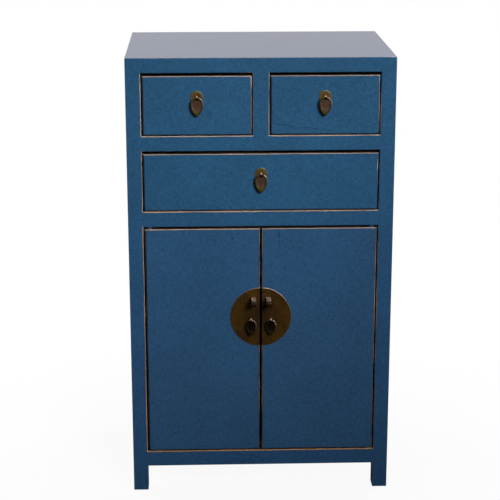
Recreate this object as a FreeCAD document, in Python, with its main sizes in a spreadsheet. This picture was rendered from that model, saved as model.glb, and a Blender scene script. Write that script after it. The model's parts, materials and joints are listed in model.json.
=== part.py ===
"""A painted cabinet with two small drawers over one long drawer over a pair of doors.

Frame and panel carcass on four posts, dovetailed drawers on runners, doors on wooden pintles, and brass
fittings: round plates, split pins, leaf drops that swing, and loops for a padlock on the doors.
Millimetres. +X is the cabinet's right seen from the front, +Y goes to the back, +Z is up. The origin is on
the floor, in the middle of the footprint from the front of the lock loops to the back.
"""

import FreeCAD
import Part
import os
import re

from FreeCAD import Placement, Rotation, Vector

doc = FreeCAD.newDocument("cabinet")

# Driving sizes in millimetres
SIZES = {
    # Carcass
    "width": 555,
    "carcass_depth": 400,
    "foot_height": 57,
    "bottom_rail_height": 34,
    "door_opening_height": 505,
    "middle_rail_height": 33,
    "long_opening_height": 128,
    "upper_rail_height": 32,
    "small_opening_height": 130,
    "top_thickness": 31,
    "post_width": 31.5,
    "post_depth": 32,
    "divider_width": 34,
    "overrun": 1,
    # Joinery of the carcass
    "tenon_length": 11,
    "tenon_thickness": 10,
    "tenon_shoulder": 5,
    "groove_depth": 6,
    # Top
    "top_frame_width": 60,
    "top_panel_thickness": 14,
    "top_tongue_thickness": 6,
    "batten_width": 34,
    "batten_height": 14,
    # Sides, back, floor and shelf
    "side_rail_thickness": 25,
    "side_panel_thickness": 8,
    "side_panel_recess": 4,
    "back_panel_thickness": 8,
    "back_panel_recess": 6,
    "floor_thickness": 10,
    "floor_drop": 8,
    "shelf_thickness": 14,
    "shelf_height": 262,
    "shelf_setback": 36,
    "bearer_height": 16,
    "bearer_reach": 12,
    "dust_board_thickness": 6,
    # Drawers
    "drawer_side_gap": 2.5,
    "drawer_top_gap": 6,
    "drawer_bottom_gap": 1.5,
    "drawer_run_clearance": 0.3,
    "drawer_back_gap": 23,
    "drawer_front_thickness": 18,
    "drawer_wall_thickness": 11,
    "drawer_wall_drop": 14,
    "drawer_bottom_thickness": 6,
    "drawer_bottom_lift": 8,
    "drawer_groove_depth": 5,
    "tail_length": 10,
    "tail_root": 20,
    "tail_flare": 3,
    "runner_height": 20,
    "runner_reach": 13,
    "guide_height": 16,
    # Doors
    "door_side_gap": 3,
    "door_meeting_gap": 4.4,
    "door_top_gap": 5,
    "door_bottom_gap": 2,
    "door_thickness": 18,
    "stile_width": 36,
    "door_rail_height": 42,
    "door_panel_thickness": 10,
    "door_tongue_thickness": 5,
    "pintle_radius": 5,
    "pintle_clearance": 0.08,
    "pintle_length": 12,
    "pintle_end_clearance": 0.5,
    "pintle_inset": 10,
    "pintle_setback": 7,
    "stop_height": 12,
    "stop_depth": 12,
    "stop_inset": 46,
    "stop_clearance": 0.5,
    # Drop pulls
    "pin_width": 4,
    "pin_strip": 1.3,
    "pin_tail": 9,
    "eye_clearance": 0.3,
    "eye_standoff": 6,
    "bar_radius": 1.1,
    "slot_width": 6,
    "bar_drop": 1.2,
    "slot_clearance": 0.4,
    "drop_thickness": 4,
    "drop_border": 2.4,
    "drop_hollow": 1.5,
    "drop_head": 1.6,
    "drop_back": 1.3,
    "backplate_radius": 12.9,
    "backplate_thickness": 1.2,
    "drawer_pull_rise": 15.8,
    "drawer_drop_width": 26,
    "drawer_drop_length": 39,
    "door_drop_width": 22.5,
    "door_drop_length": 34.5,
    # Round plate of the doors and its lock loops
    "plate_radius": 65,
    "plate_thickness": 1.6,
    "plate_rise": 304,
    "door_pull_offset": 21,
    "door_pull_fall": 5.2,
    "loop_width": 10,
    "loop_height": 14,
    "loop_strap": 3,
    "loop_reach": 34,
    "loop_offset": 16,
    "loop_rise": 37,
    "tang_width": 5,
    "tang_thickness": 2.4,
    "tang_tail": 10,
}

# Shares of a drawer side's height at which its dovetails are centred
TAIL_SHARES = (0.27, 0.73)

# Levels and faces that several pieces share, each worked out from the driving sizes
FACES = {
    "front": "(loop_reach - carcass_depth) / 2",
    "back": "front + carcass_depth",
    "half_width": "width / 2",
    "half_opening": "half_width - post_width",
    "half_divider": "divider_width / 2",
    "rail_back": "front + post_depth",
    "post_back_front": "back - post_depth",
    "bottom_rail_top": "foot_height + bottom_rail_height",
    "door_opening_top": "bottom_rail_top + door_opening_height",
    "middle_rail_top": "door_opening_top + middle_rail_height",
    "long_opening_top": "middle_rail_top + long_opening_height",
    "upper_rail_top": "long_opening_top + upper_rail_height",
    "small_opening_top": "upper_rail_top + small_opening_height",
    "top": "small_opening_top + top_thickness",
    "half_inside": "half_width - side_panel_recess - side_panel_thickness",
    "back_panel_front": "back - back_panel_recess - back_panel_thickness",
    "floor_top": "bottom_rail_top - floor_drop",
    "top_panel_bottom": "top - top_panel_thickness",
    "shelf_bottom": "floor_top + shelf_height",
    "door_bottom": "bottom_rail_top + door_bottom_gap",
    "door_top": "door_opening_top - door_top_gap",
    "door_back": "front + door_thickness",
    "door_inner": "door_meeting_gap / 2",
    "door_outer": "half_opening - door_side_gap",
    "pintle_middle": "door_outer - pintle_inset",
    "pintle_depth": "front + pintle_setback",
    "plate_middle": "door_bottom + plate_rise",
    "plate_face": "front - plate_thickness",
    "drawer_front_back": "front + drawer_front_thickness",
    "drawer_end": "post_back_front - drawer_back_gap",
    "drawer_end_wall": "drawer_end - drawer_wall_thickness",
    "eye_bore": "bar_radius + bar_drop + eye_clearance",
    "eye_radius": "eye_bore + pin_strip",
}

pieces = []


# Document helpers


def bind(text):
    """Turns the size and face names of a formula into references to the sheet."""

    def swap(match):
        word = match.group(0)
        if word in FACES:
            return "(" + bind(FACES[word]) + ")"
        return "Sizes." + word if word in SIZES else word

    return re.sub(r"[a-z_]+", swap, text)


def write_sheet():
    """Puts every driving size into the sheet as a plain number with an alias."""
    sheet = doc.addObject("Spreadsheet::Sheet", "Sizes")
    for row, (alias, value) in enumerate(SIZES.items(), start=1):
        sheet.set(f"A{row}", alias)
        sheet.set(f"B{row}", str(value))
        sheet.setAlias(f"B{row}", alias)
    doc.recompute()


def place(piece, x, y, z):
    """Binds a piece's place to three formulas."""
    for axis, formula in (("x", x), ("y", y), ("z", z)):
        piece.setExpression(f"Placement.Base.{axis}", bind(formula))


def box(name, x, y, z):
    """A box between two formulas on each axis."""
    piece = doc.addObject("Part::Box", name)
    for size, (low, high) in (("Length", x), ("Width", y), ("Height", z)):
        piece.setExpression(size, bind(f"({high}) - ({low})"))
    place(piece, x[0], y[0], z[0])
    return piece


def rod(name, radius, x, y, z):
    """A cylinder along the one axis that is given as a pair of ends."""
    piece = doc.addObject("Part::Cylinder", name)
    if isinstance(x, tuple):
        turn, (low, high), x = Rotation(Vector(0, 1, 0), 90), x, x[0]
    elif isinstance(y, tuple):
        turn, (low, high), y = Rotation(Vector(1, 0, 0), -90), y, y[0]
    else:
        turn, (low, high), z = Rotation(), z, z[0]
    piece.Placement = Placement(Vector(), turn)
    piece.setExpression("Radius", bind(radius))
    piece.setExpression("Height", bind(f"({high}) - ({low})"))
    place(piece, x, y, z)
    return piece


def wedge(name, x, y, z, x_far, z_far):
    """A block along Y whose section goes from x by z at its near end to x_far by z_far at its far end."""
    piece = doc.addObject("Part::Wedge", name)
    ends = {"Xmin": x[0], "Xmax": x[1], "Ymin": y[0], "Ymax": y[1], "Zmin": z[0], "Zmax": z[1]}
    far_ends = {"X2min": x_far[0], "X2max": x_far[1], "Z2min": z_far[0], "Z2max": z_far[1]}
    for size, formula in {**ends, **far_ends}.items():
        piece.setExpression(size, bind(formula))
    return piece


def fuse(name, *shapes):
    """One solid made of several that touch or overlap."""
    piece = doc.addObject("Part::MultiFuse", name)
    piece.Shapes = list(shapes)
    piece.Refine = True
    return piece


def cut(name, base, *tools):
    """A solid with others taken out of it."""
    piece = doc.addObject("Part::Cut", name)
    piece.Base = base
    piece.Tool = tools[0] if len(tools) == 1 else fuse(name + "_voids", *tools)
    return piece


def common(name, *shapes):
    """What several solids share."""
    piece = doc.addObject("Part::MultiCommon", name)
    piece.Shapes = list(shapes)
    return piece


def group(name, *shapes):
    """Separate solids in one node."""
    piece = doc.addObject("Part::Compound", name)
    piece.Links = list(shapes)
    return piece


def keep(label, piece):
    """Labels a finished piece and lists it for export."""
    piece.Label = label
    if piece.Label != label:
        raise ValueError(f"another object is already called {label}")
    pieces.append(piece)
    return piece


def span(sign, near, far):
    """The ends, lowest first, of a stretch between two distances from the middle plane, on one side of it."""
    return (near, far) if sign > 0 else (f"-({far})", f"-({near})")


def at(sign, distance):
    """A distance from the middle plane, on one side of it."""
    return distance if sign > 0 else f"-({distance})"


SIDES = (("left", -1), ("right", 1))
ENDS = (("front", "front", "rail_back"), ("back", "post_back_front", "back"))
FULL_WIDTH = ("-half_width", "half_width")
OPENING_WIDTH = ("-half_opening", "half_opening")
RAIL_DEPTH = ("front", "rail_back")
BETWEEN_POSTS = ("rail_back", "post_back_front")


# Carcass


def rail_tenons(name, y, z):
    """Two tenons that run from a rail's ends into the posts, in the upper half of the rail."""
    low, high = z
    middle_y = f"(({y[0]}) + ({y[1]})) / 2"
    thick = (f"{middle_y} - tenon_thickness / 2", f"{middle_y} + tenon_thickness / 2")
    tall = (f"(({low}) + ({high})) / 2", f"({high}) - tenon_shoulder")
    return [
        box(f"{name}_tenon_{side}", span(sign, "half_opening", "half_opening + tenon_length"), thick, tall)
        for side, sign in SIDES
    ]


def rail(name, y, z):
    """A rail between the posts, with its tenons. Returns the rail and the tenons."""
    tenons = rail_tenons(name, y, z)
    return fuse(name, box(name + "_bar", OPENING_WIDTH, y, z), *tenons), tenons


def side_rail(side, sign):
    """A bottom rail between a front and a back post, with tenons in its lower half."""
    x = span(sign, "half_width - side_rail_thickness", "half_width")
    middle_x = at(sign, "half_width - side_rail_thickness / 2")
    thick = (f"{middle_x} - tenon_thickness / 2", f"{middle_x} + tenon_thickness / 2")
    low = ("foot_height + tenon_shoulder", "foot_height + bottom_rail_height / 2")
    tenons = [
        box(f"side_tenon_{side}_front", thick, ("rail_back - tenon_length", "rail_back"), low),
        box(f"side_tenon_{side}_back", thick, ("post_back_front", "post_back_front + tenon_length"), low),
    ]
    bar = box(f"side_bar_{side}", x, BETWEEN_POSTS, ("foot_height", "bottom_rail_top"))
    return fuse(f"side_rail_{side}", bar, *tenons), tenons


def build_carcass():
    """Posts, rails, panels and everything that stays with them."""
    front_rails = {
        "rail_upper": ("long_opening_top", "upper_rail_top"),
        "rail_middle": ("door_opening_top", "middle_rail_top"),
        "rail_bottom": ("foot_height", "bottom_rail_top"),
    }
    back_faces = {
        "rail_upper": ("post_back_front", "back_panel_front"),
        "rail_middle": ("post_back_front", "back_panel_front"),
        "rail_bottom": ("post_back_front", "back"),
    }
    bars, tenons = {}, {"front": [], "back": []}
    for name, z in front_rails.items():
        bars[name], made = rail(name + "_front", RAIL_DEPTH, z)
        tenons["front"] += made
        bars[name + "_back"], made = rail(name + "_back", back_faces[name], z)
        tenons["back"] += made
    side_bars, side_tenons = zip(*[side_rail(side, sign) for side, sign in SIDES])
    side_tenons = sum(side_tenons, [])

    # Panels, each with the edge that its grooves hold
    panel_depth = ("rail_back - groove_depth", "post_back_front + groove_depth")
    panel_height = ("bottom_rail_top - groove_depth", "small_opening_top + groove_depth")
    side_panels = [
        box(
            f"side_panel_{side}",
            span(sign, "half_inside", "half_inside + side_panel_thickness"),
            panel_depth,
            panel_height,
        )
        for side, sign in SIDES
    ]
    back_panel = box(
        "back_panel",
        ("-half_opening - groove_depth", "half_opening + groove_depth"),
        ("back_panel_front", "back_panel_front + back_panel_thickness"),
        panel_height,
    )
    half_floor = "half_width - side_rail_thickness + groove_depth"
    floor_panel = box(
        "floor_panel",
        (f"-({half_floor})", half_floor),
        panel_depth,
        ("floor_top - floor_thickness", "floor_top"),
    )
    dust_board = box(
        "dust_board",
        OPENING_WIDTH,
        panel_depth,
        ("middle_rail_top - runner_height - dust_board_thickness", "middle_rail_top - runner_height"),
    )

    # Top: a mitred frame with a panel flush in it and a batten under the panel
    inner_x = ("-half_width + top_frame_width", "half_width - top_frame_width")
    inner_y = ("front + top_frame_width", "back - top_frame_width")
    top_z = ("small_opening_top", "top")
    front_mitre = wedge("top_front_bar", FULL_WIDTH, ("front", inner_y[0]), top_z, inner_x, top_z)
    back_mitre = wedge("top_back_bar", inner_x, (inner_y[1], "back"), top_z, FULL_WIDTH, top_z)
    tongue = box(
        "top_tongue",
        (f"{inner_x[0]} - groove_depth", f"{inner_x[1]} + groove_depth"),
        (f"{inner_y[0]} - groove_depth", f"{inner_y[1]} + groove_depth"),
        ("top_panel_bottom", "top_panel_bottom + top_tongue_thickness"),
    )
    top_field = box("top_field", inner_x, inner_y, ("top_panel_bottom", "top"))
    batten_x = ("-batten_width / 2", "batten_width / 2")
    batten_z = ("top_panel_bottom - batten_height", "top_panel_bottom")
    batten_tenon = box(
        "batten_tenon",
        ("-tenon_thickness / 2", "tenon_thickness / 2"),
        (f"{inner_y[0]} - tenon_length", f"{inner_y[1]} + tenon_length"),
        ("top_panel_bottom - batten_height * 3 / 4", "top_panel_bottom - batten_height / 4"),
    )

    # Divider between the small drawers, tenoned into the top and the upper rail
    divider_tenon = box(
        "divider_tenon",
        ("-divider_width / 4", "divider_width / 4"),
        ("front + post_depth / 4", "rail_back - post_depth / 4"),
        ("upper_rail_top - tenon_length", "small_opening_top + tenon_length"),
    )
    divider_bar = box(
        "divider_bar", ("-half_divider", "half_divider"), RAIL_DEPTH, ("upper_rail_top", "small_opening_top")
    )

    # Posts, with a tenon on top that holds the mitred corner together
    post_tenons = []
    for end, near, far in ENDS:
        for side, sign in SIDES:
            stem = box(
                f"post_bar_{end}_{side}",
                span(sign, "half_opening", "half_width"),
                (near, far),
                ("0", "small_opening_top"),
            )
            tenon = box(
                f"post_tenon_{end}_{side}",
                span(sign, "half_opening + post_width / 4", "half_width - post_width / 4"),
                (f"{near} + post_depth / 4", f"{far} - post_depth / 4"),
                ("small_opening_top", "small_opening_top + tenon_length"),
            )
            post_tenons.append(tenon)
            held = [*tenons[end], *side_tenons, *side_panels, floor_panel]
            if end == "back":
                held.append(back_panel)
            name = f"post_{end}_{side}"
            keep(name, cut(name + "_cut", fuse(name + "_whole", stem, tenon), *held))

    # Sockets for the door pintles in the two rails that the doors swing between
    lower_sockets, upper_sockets = [], []
    for side, sign in SIDES:
        x, y = at(sign, "pintle_middle"), "pintle_depth"
        radius = "pintle_radius + pintle_clearance"
        reach = "pintle_length + pintle_end_clearance"
        low = (f"door_bottom - ({reach})", "bottom_rail_top + overrun")
        high = ("door_opening_top - overrun", f"door_top + {reach}")
        lower_sockets.append(rod(f"socket_low_{side}", radius, x, y, low))
        upper_sockets.append(rod(f"socket_high_{side}", radius, x, y, high))

    keep("rail_upper", cut("rail_upper_cut", bars["rail_upper"], divider_tenon))
    keep("rail_middle", cut("rail_middle_cut", bars["rail_middle"], dust_board, *upper_sockets))
    keep("rail_bottom", cut("rail_bottom_cut", bars["rail_bottom"], floor_panel, *lower_sockets))
    back_bars = [
        bars["rail_upper_back"],
        cut("rail_middle_back_cut", bars["rail_middle_back"], dust_board),
        cut("rail_bottom_back_cut", bars["rail_bottom_back"], floor_panel, back_panel),
    ]
    keep("back_rails", group("back_rails", *back_bars))
    side_cuts = [
        cut(f"side_rail_{side}_cut", bar, floor_panel, panel)
        for (side, sign), bar, panel in zip(SIDES, side_bars, side_panels)
    ]
    keep("side_rails", group("side_rails", *side_cuts))
    keep("side_panels", group("side_panels", *side_panels))
    keep("back_panel", back_panel)
    keep("floor_panel", floor_panel)
    keep("dust_board", dust_board)
    keep("drawer_divider", fuse("drawer_divider", divider_bar, divider_tenon))

    top_voids = [tongue, *post_tenons, *side_panels, back_panel]
    keep("top_frame_front", cut("top_front_cut", front_mitre, *top_voids, divider_tenon, batten_tenon))
    keep("top_frame_back", cut("top_back_cut", back_mitre, *top_voids, batten_tenon))
    top_ends = []
    for side, sign in SIDES:
        strip = box(f"top_end_{side}", span(sign, inner_x[1], "half_width"), ("front", "back"), top_z)
        top_ends.append(cut(f"top_end_{side}_cut", strip, front_mitre, back_mitre, *top_voids))
    keep("top_frame_ends", group("top_frame_ends", *top_ends))
    keep("top_panel", fuse("top_panel", top_field, tongue))
    keep("top_batten", fuse("top_batten", box("batten_bar", batten_x, inner_y, batten_z), batten_tenon))


def build_fittings():
    """Shelf, drawer runners and door stops."""
    half_shelf = "half_opening - overrun"
    keep(
        "shelf",
        box(
            "shelf",
            (f"-({half_shelf})", half_shelf),
            ("front + shelf_setback", "back_panel_front - overrun"),
            ("shelf_bottom", "shelf_bottom + shelf_thickness"),
        ),
    )
    bearers = [
        box(
            f"shelf_bearer_{side}",
            span(sign, "half_opening - bearer_reach", "half_inside"),
            BETWEEN_POSTS,
            ("shelf_bottom - bearer_height", "shelf_bottom"),
        )
        for side, sign in SIDES
    ]
    keep("shelf_bearers", group("shelf_bearers", *bearers))

    runners, run = [], BETWEEN_POSTS
    ledge_x = ("half_opening - runner_reach", "half_inside")
    for level, floor in (("long", "middle_rail_top"), ("small", "upper_rail_top")):
        ledge, wall = (f"{floor} - runner_height", floor), (floor, f"{floor} + guide_height")
        for side, sign in SIDES:
            name = f"runner_{level}_{side}"
            runners.append(
                fuse(
                    name,
                    box(name + "_ledge", span(sign, *ledge_x), run, ledge),
                    box(name + "_guide", span(sign, "half_opening", "half_inside"), run, wall),
                )
            )
    half_ledge = "half_divider + runner_reach"
    runners.append(
        fuse(
            "runner_middle",
            box("middle_ledge", (f"-({half_ledge})", half_ledge), run, ledge),
            box("middle_guide", ("-half_divider", "half_divider"), run, wall),
        )
    )
    keep("drawer_runners", group("drawer_runners", *runners))

    half_stop = "half_opening - stop_inset"
    stop_x, stop_front = (f"-({half_stop})", half_stop), "door_back + stop_clearance"
    stop_y = (stop_front, f"{stop_front} + stop_depth")
    stops = [
        box("door_stop_top", stop_x, stop_y, ("door_opening_top - stop_height", "door_opening_top")),
        box("door_stop_bottom", stop_x, stop_y, ("bottom_rail_top", "bottom_rail_top + stop_height")),
    ]
    keep("door_stops", group("door_stops", *stops))


# Fittings of brass


def drop_pull(name, x, z, face, board_back, plate, width, length):
    """A split pin through a board and a leaf drop that hangs in its eye.

    The pin's eye is a ring seen from the side. A round bar across the top of the leaf hangs in its lower part
    and turns there. Returns the shank, which makes the holes in the board and in the plate.
    """
    eye_y = f"({face} - {plate} - eye_standoff)"
    shank_x = (f"({x}) - pin_width / 2", f"({x}) + pin_width / 2")
    shank_z = (f"({z}) - pin_strip", f"({z}) + pin_strip")
    shank = box(name + "_shank", shank_x, (eye_y, f"{board_back} + pin_strip"), shank_z)
    tail_y = (board_back, f"{board_back} + pin_strip")
    tails = box(name + "_tails", shank_x, tail_y, (f"({z}) - pin_tail", f"({z}) + pin_tail"))
    eye = rod(name + "_eye", "eye_radius", shank_x, eye_y, z)
    bore = rod(name + "_bore", "eye_bore", (f"{shank_x[0]} - overrun", f"{shank_x[1]} + overrun"), eye_y, z)
    keep(name + "_pin", cut(name + "_pin_cut", fuse(name + "_pin_whole", eye, shank, tails), bore))

    # A round head over two arcs that meet in a point, dished inside a border
    bar_z = f"({z} - bar_drop)"
    slab = (f"({eye_y} + drop_back - drop_thickness)", f"({eye_y} + drop_back)")
    dish = (f"{slab[0]} - overrun", f"{slab[0]} + drop_hollow")
    slot = box(
        name + "_slot",
        (f"({x}) - slot_width / 2", f"({x}) + slot_width / 2"),
        (f"{slab[0]} - overrun", f"{slab[1]} + overrun"),
        (f"{bar_z} - bar_drop - eye_radius - slot_clearance", f"{bar_z} + drop_head + overrun"),
    )
    bar_reach = "(slot_width / 2 + bar_radius)"
    bar = rod(name + "_bar", "bar_radius", (f"({x}) - {bar_reach}", f"({x}) + {bar_reach}"), eye_y, bar_z)
    outline = leaf(name + "_outline", x, bar_z, slab, width, length, "0")
    hollow = leaf(name + "_hollow", x, bar_z, dish, width, length, "drop_border")
    keep(name + "_drop", fuse(name + "_leaf", cut(name + "_leaf_cut", outline, hollow, slot), bar))
    return shank


def leaf(name, x, z, y, width, length, inset):
    """A leaf between two formulas on Y: a round head and two arcs to a point, all drawn in by an inset."""
    half = f"({width} / 2)"
    head_z = f"({z} + drop_head - {half})"
    tip = f"({length} - {half})"
    arc = f"(({half} * {half} + {tip} * {tip}) / {width})"
    head = rod(name + "_head", f"({half} - {inset})", x, y, head_z)
    sides = common(
        name + "_point",
        rod(name + "_arc_left", f"({arc} - {inset})", f"({x}) + {arc} - {half}", y, head_z),
        rod(name + "_arc_right", f"({arc} - {inset})", f"({x}) - {arc} + {half}", y, head_z),
        box(
            name + "_below",
            (f"({x}) - {half}", f"({x}) + {half}"),
            y,
            (f"{head_z} - {tip} - overrun", head_z),
        ),
    )
    return fuse(name + "_whole", head, sides)


# Drawers


def build_drawer(name, x, floor, ceiling):
    """A drawer in the opening between two formulas on X and two on Z."""
    low, high = f"({x[0]} + drawer_side_gap)", f"({x[1]} - drawer_side_gap)"
    front_z = (f"{floor} + drawer_bottom_gap", f"{ceiling} - drawer_top_gap")
    wall_z = (f"{floor} + drawer_run_clearance", f"{ceiling} - drawer_top_gap - drawer_wall_drop")
    bottom_z = f"({floor} + drawer_bottom_lift)"
    inner = (f"{low} + drawer_wall_thickness", f"{high} - drawer_wall_thickness")
    bottom = box(
        name + "_bottom",
        (f"{inner[0]} - drawer_groove_depth", f"{inner[1]} + drawer_groove_depth"),
        ("drawer_front_back - drawer_groove_depth", "drawer_end"),
        (bottom_z, f"{bottom_z} + drawer_bottom_thickness"),
    )

    # Sides, with two dovetails at each end
    tails, walls = [], []
    for side, wall_x in (("left", (low, inner[0])), ("right", (inner[1], high))):
        own = []
        for number, share in enumerate(TAIL_SHARES):
            middle = f"({wall_z[0]} + ({wall_z[1]} - ({wall_z[0]})) * {share})"
            root = (f"{middle} - tail_root / 2", f"{middle} + tail_root / 2")
            wide = (f"{root[0]} - tail_flare", f"{root[1]} + tail_flare")
            stem = f"{name}_tail_{side}_{number}"
            front_y = ("drawer_front_back - tail_length", "drawer_front_back")
            own.append(wedge(stem + "_front", wall_x, front_y, wide, wall_x, root))
            own.append(wedge(stem + "_back", wall_x, ("drawer_end_wall", "drawer_end"), root, wall_x, wide))
        board = box(f"{name}_wall_{side}", wall_x, ("drawer_front_back", "drawer_end_wall"), wall_z)
        walls.append(cut(f"{name}_wall_{side}_cut", fuse(f"{name}_wall_{side}_whole", board, *own), bottom))
        tails += own

    pull_z = f"(({floor} + {ceiling}) / 2 + drawer_pull_rise)"
    pull_x = f"(({x[0]} + {x[1]}) / 2)"
    shank = drop_pull(
        name + "_pull",
        pull_x,
        pull_z,
        "front",
        "drawer_front_back",
        "backplate_thickness",
        "drawer_drop_width",
        "drawer_drop_length",
    )
    disc = rod(name + "_disc", "backplate_radius", pull_x, ("front - backplate_thickness", "front"), pull_z)
    keep(name + "_backplate", cut(name + "_disc_cut", disc, shank))
    face = box(name + "_face", (low, high), ("front", "drawer_front_back"), front_z)
    keep(name + "_front", cut(name + "_face_cut", face, *tails, bottom, shank))
    keep(name + "_sides", group(name + "_sides", *walls))
    end_z = (f"{bottom_z} + drawer_bottom_thickness", wall_z[1])
    end = box(name + "_end", (low, high), ("drawer_end_wall", "drawer_end"), end_z)
    keep(name + "_back", cut(name + "_end_cut", end, *tails))
    keep(name + "_bottom", bottom)


# Doors


def lock_loop(name, x, z):
    """A strap bent into a U that a padlock goes through, with two tangs clinched behind the door."""
    wide = (f"({x}) - loop_width / 2", f"({x}) + loop_width / 2")
    over = (f"{wide[0]} - overrun", f"{wide[1]} + overrun")
    bend = "(loop_height / 2)"
    bend_y = f"(front - loop_reach + {bend})"
    hollow = f"({bend} - loop_strap)"
    outside = fuse(
        name + "_outside",
        rod(name + "_bend", bend, wide, bend_y, z),
        box(name + "_arms", wide, (bend_y, "plate_face"), (f"{z} - {bend}", f"{z} + {bend}")),
    )
    inside = fuse(
        name + "_inside",
        rod(name + "_hollow", hollow, over, bend_y, z),
        box(name + "_gap", over, (bend_y, "plate_face + overrun"), (f"{z} - {hollow}", f"{z} + {hollow}")),
    )
    narrow = (f"({x}) - tang_width / 2", f"({x}) + tang_width / 2")
    arm = f"({bend} - loop_strap / 2)"
    tangs, ends = [], []
    for word, sign in (("low", -1), ("high", 1)):
        middle = f"({z} + {sign} * {arm})"
        thick = (f"{middle} - tang_thickness / 2", f"{middle} + tang_thickness / 2")
        tangs.append(box(f"{name}_tang_{word}", narrow, ("plate_face", "door_back + tang_thickness"), thick))
        tail = (thick[0], f"{thick[0]} + tang_tail") if sign > 0 else (f"{thick[1]} - tang_tail", thick[1])
        ends.append(box(f"{name}_tail_{word}", narrow, ("door_back", "door_back + tang_thickness"), tail))
    keep(name, fuse(name, cut(name + "_strap", outside, inside), *tangs, *ends))
    return tangs


def build_door(side, sign):
    """A framed door with a panel flush in front, on two pintles, with half of the round plate."""
    name = f"door_{side}"
    thick, tall = ("front", "door_back"), ("door_bottom", "door_top")
    inner, outer = "door_inner + stile_width", "door_outer - stile_width"
    low, high = "door_bottom + door_rail_height", "door_top - door_rail_height"
    tongue = box(
        name + "_tongue",
        span(sign, f"{inner} - groove_depth", f"{outer} + groove_depth"),
        ("front + door_panel_thickness - door_tongue_thickness", "front + door_panel_thickness"),
        (f"{low} - groove_depth", f"{high} + groove_depth"),
    )
    field_y = ("front", "front + door_panel_thickness")
    field = box(name + "_field", span(sign, inner, outer), field_y, (low, high))
    keep(name + "_panel", fuse(name + "_panel", field, tongue))

    rails, tenons = [], []
    for word, z in (("bottom", ("door_bottom", low)), ("top", (high, "door_top"))):
        bar = box(f"{name}_rail_{word}_bar", span(sign, inner, outer), thick, z)
        tenon = box(
            f"{name}_rail_{word}_tenon",
            span(sign, f"{inner} - tenon_length", f"{outer} + tenon_length"),
            ("front + door_panel_thickness", "door_back - door_tongue_thickness / 2"),
            (f"{z[0]} + tenon_shoulder", f"{z[1]} - tenon_shoulder"),
        )
        tenons.append(tenon)
        rails.append(cut(f"{name}_rail_{word}_cut", fuse(f"{name}_rail_{word}", bar, tenon), tongue))
    keep(name + "_rails", group(name + "_rails", *rails))

    pintle_x, pintle_y = at(sign, "pintle_middle"), "pintle_depth"
    below, above = ("door_bottom - pintle_length", "door_bottom"), ("door_top", "door_top + pintle_length")
    pintles = [
        rod(name + "_pintle_low", "pintle_radius", pintle_x, pintle_y, below),
        rod(name + "_pintle_high", "pintle_radius", pintle_x, pintle_y, above),
    ]
    hinge_bar = box(name + "_hinge_bar", span(sign, outer, "door_outer"), thick, tall)
    hinge_whole = fuse(name + "_hinge_whole", hinge_bar, *pintles)
    keep(name + "_hinge_stile", cut(name + "_hinge_cut", hinge_whole, tongue, *tenons))

    shank = drop_pull(
        name + "_pull",
        at(sign, "door_pull_offset"),
        "(plate_middle - door_pull_fall)",
        "front",
        "door_back",
        "plate_thickness",
        "door_drop_width",
        "door_drop_length",
    )
    tangs = lock_loop(name + "_lock_loop", at(sign, "loop_offset"), "(plate_middle + loop_rise)")
    meeting_bar = box(name + "_meeting_bar", span(sign, "door_inner", inner), thick, tall)
    keep(name + "_meeting_stile", cut(name + "_meeting_cut", meeting_bar, tongue, *tenons, shank, *tangs))

    disc = rod(name + "_disc", "plate_radius", "0", ("plate_face", "front"), "plate_middle")
    half = box(
        name + "_half",
        span(sign, "door_inner", "plate_radius + overrun"),
        ("plate_face - overrun", "front + overrun"),
        ("plate_middle - plate_radius - overrun", "plate_middle + plate_radius + overrun"),
    )
    keep(name + "_plate", cut(name + "_plate_cut", common(name + "_half_disc", disc, half), shank, *tangs))


# The whole cabinet


def check(piece):
    """Stops if a finished piece has no sound solid."""
    if piece.Shape.isNull() or not piece.Shape.isValid() or not piece.Shape.Solids:
        raise ValueError(f"{piece.Label} has no valid solid")


def main():
    """Builds every piece, checks it and writes it to its own file."""
    write_sheet()
    build_carcass()
    build_fittings()
    build_drawer("drawer_left", ("-half_opening", "-half_divider"), "upper_rail_top", "small_opening_top")
    build_drawer("drawer_right", ("half_divider", "half_opening"), "upper_rail_top", "small_opening_top")
    build_drawer("drawer_long", OPENING_WIDTH, "middle_rail_top", "long_opening_top")
    for side, sign in SIDES:
        build_door(side, sign)
    doc.recompute()
    for item in doc.Objects:
        if "Invalid" in item.State or "Error" in item.State:
            raise ValueError(f"{item.Label} failed to build: {item.State}")
    os.makedirs("parts", exist_ok=True)
    for piece in pieces:
        check(piece)
        piece.Shape.exportStep(os.path.join("parts", piece.Label + ".step"))
    print(len(pieces), "pieces,", sum(len(piece.Shape.Solids) for piece in pieces), "solids")


main()
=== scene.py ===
import json
import math

import bmesh
import bpy
from bpy.props import FloatProperty, FloatVectorProperty, IntProperty, PointerProperty
from mathutils import Matrix, Vector


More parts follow.
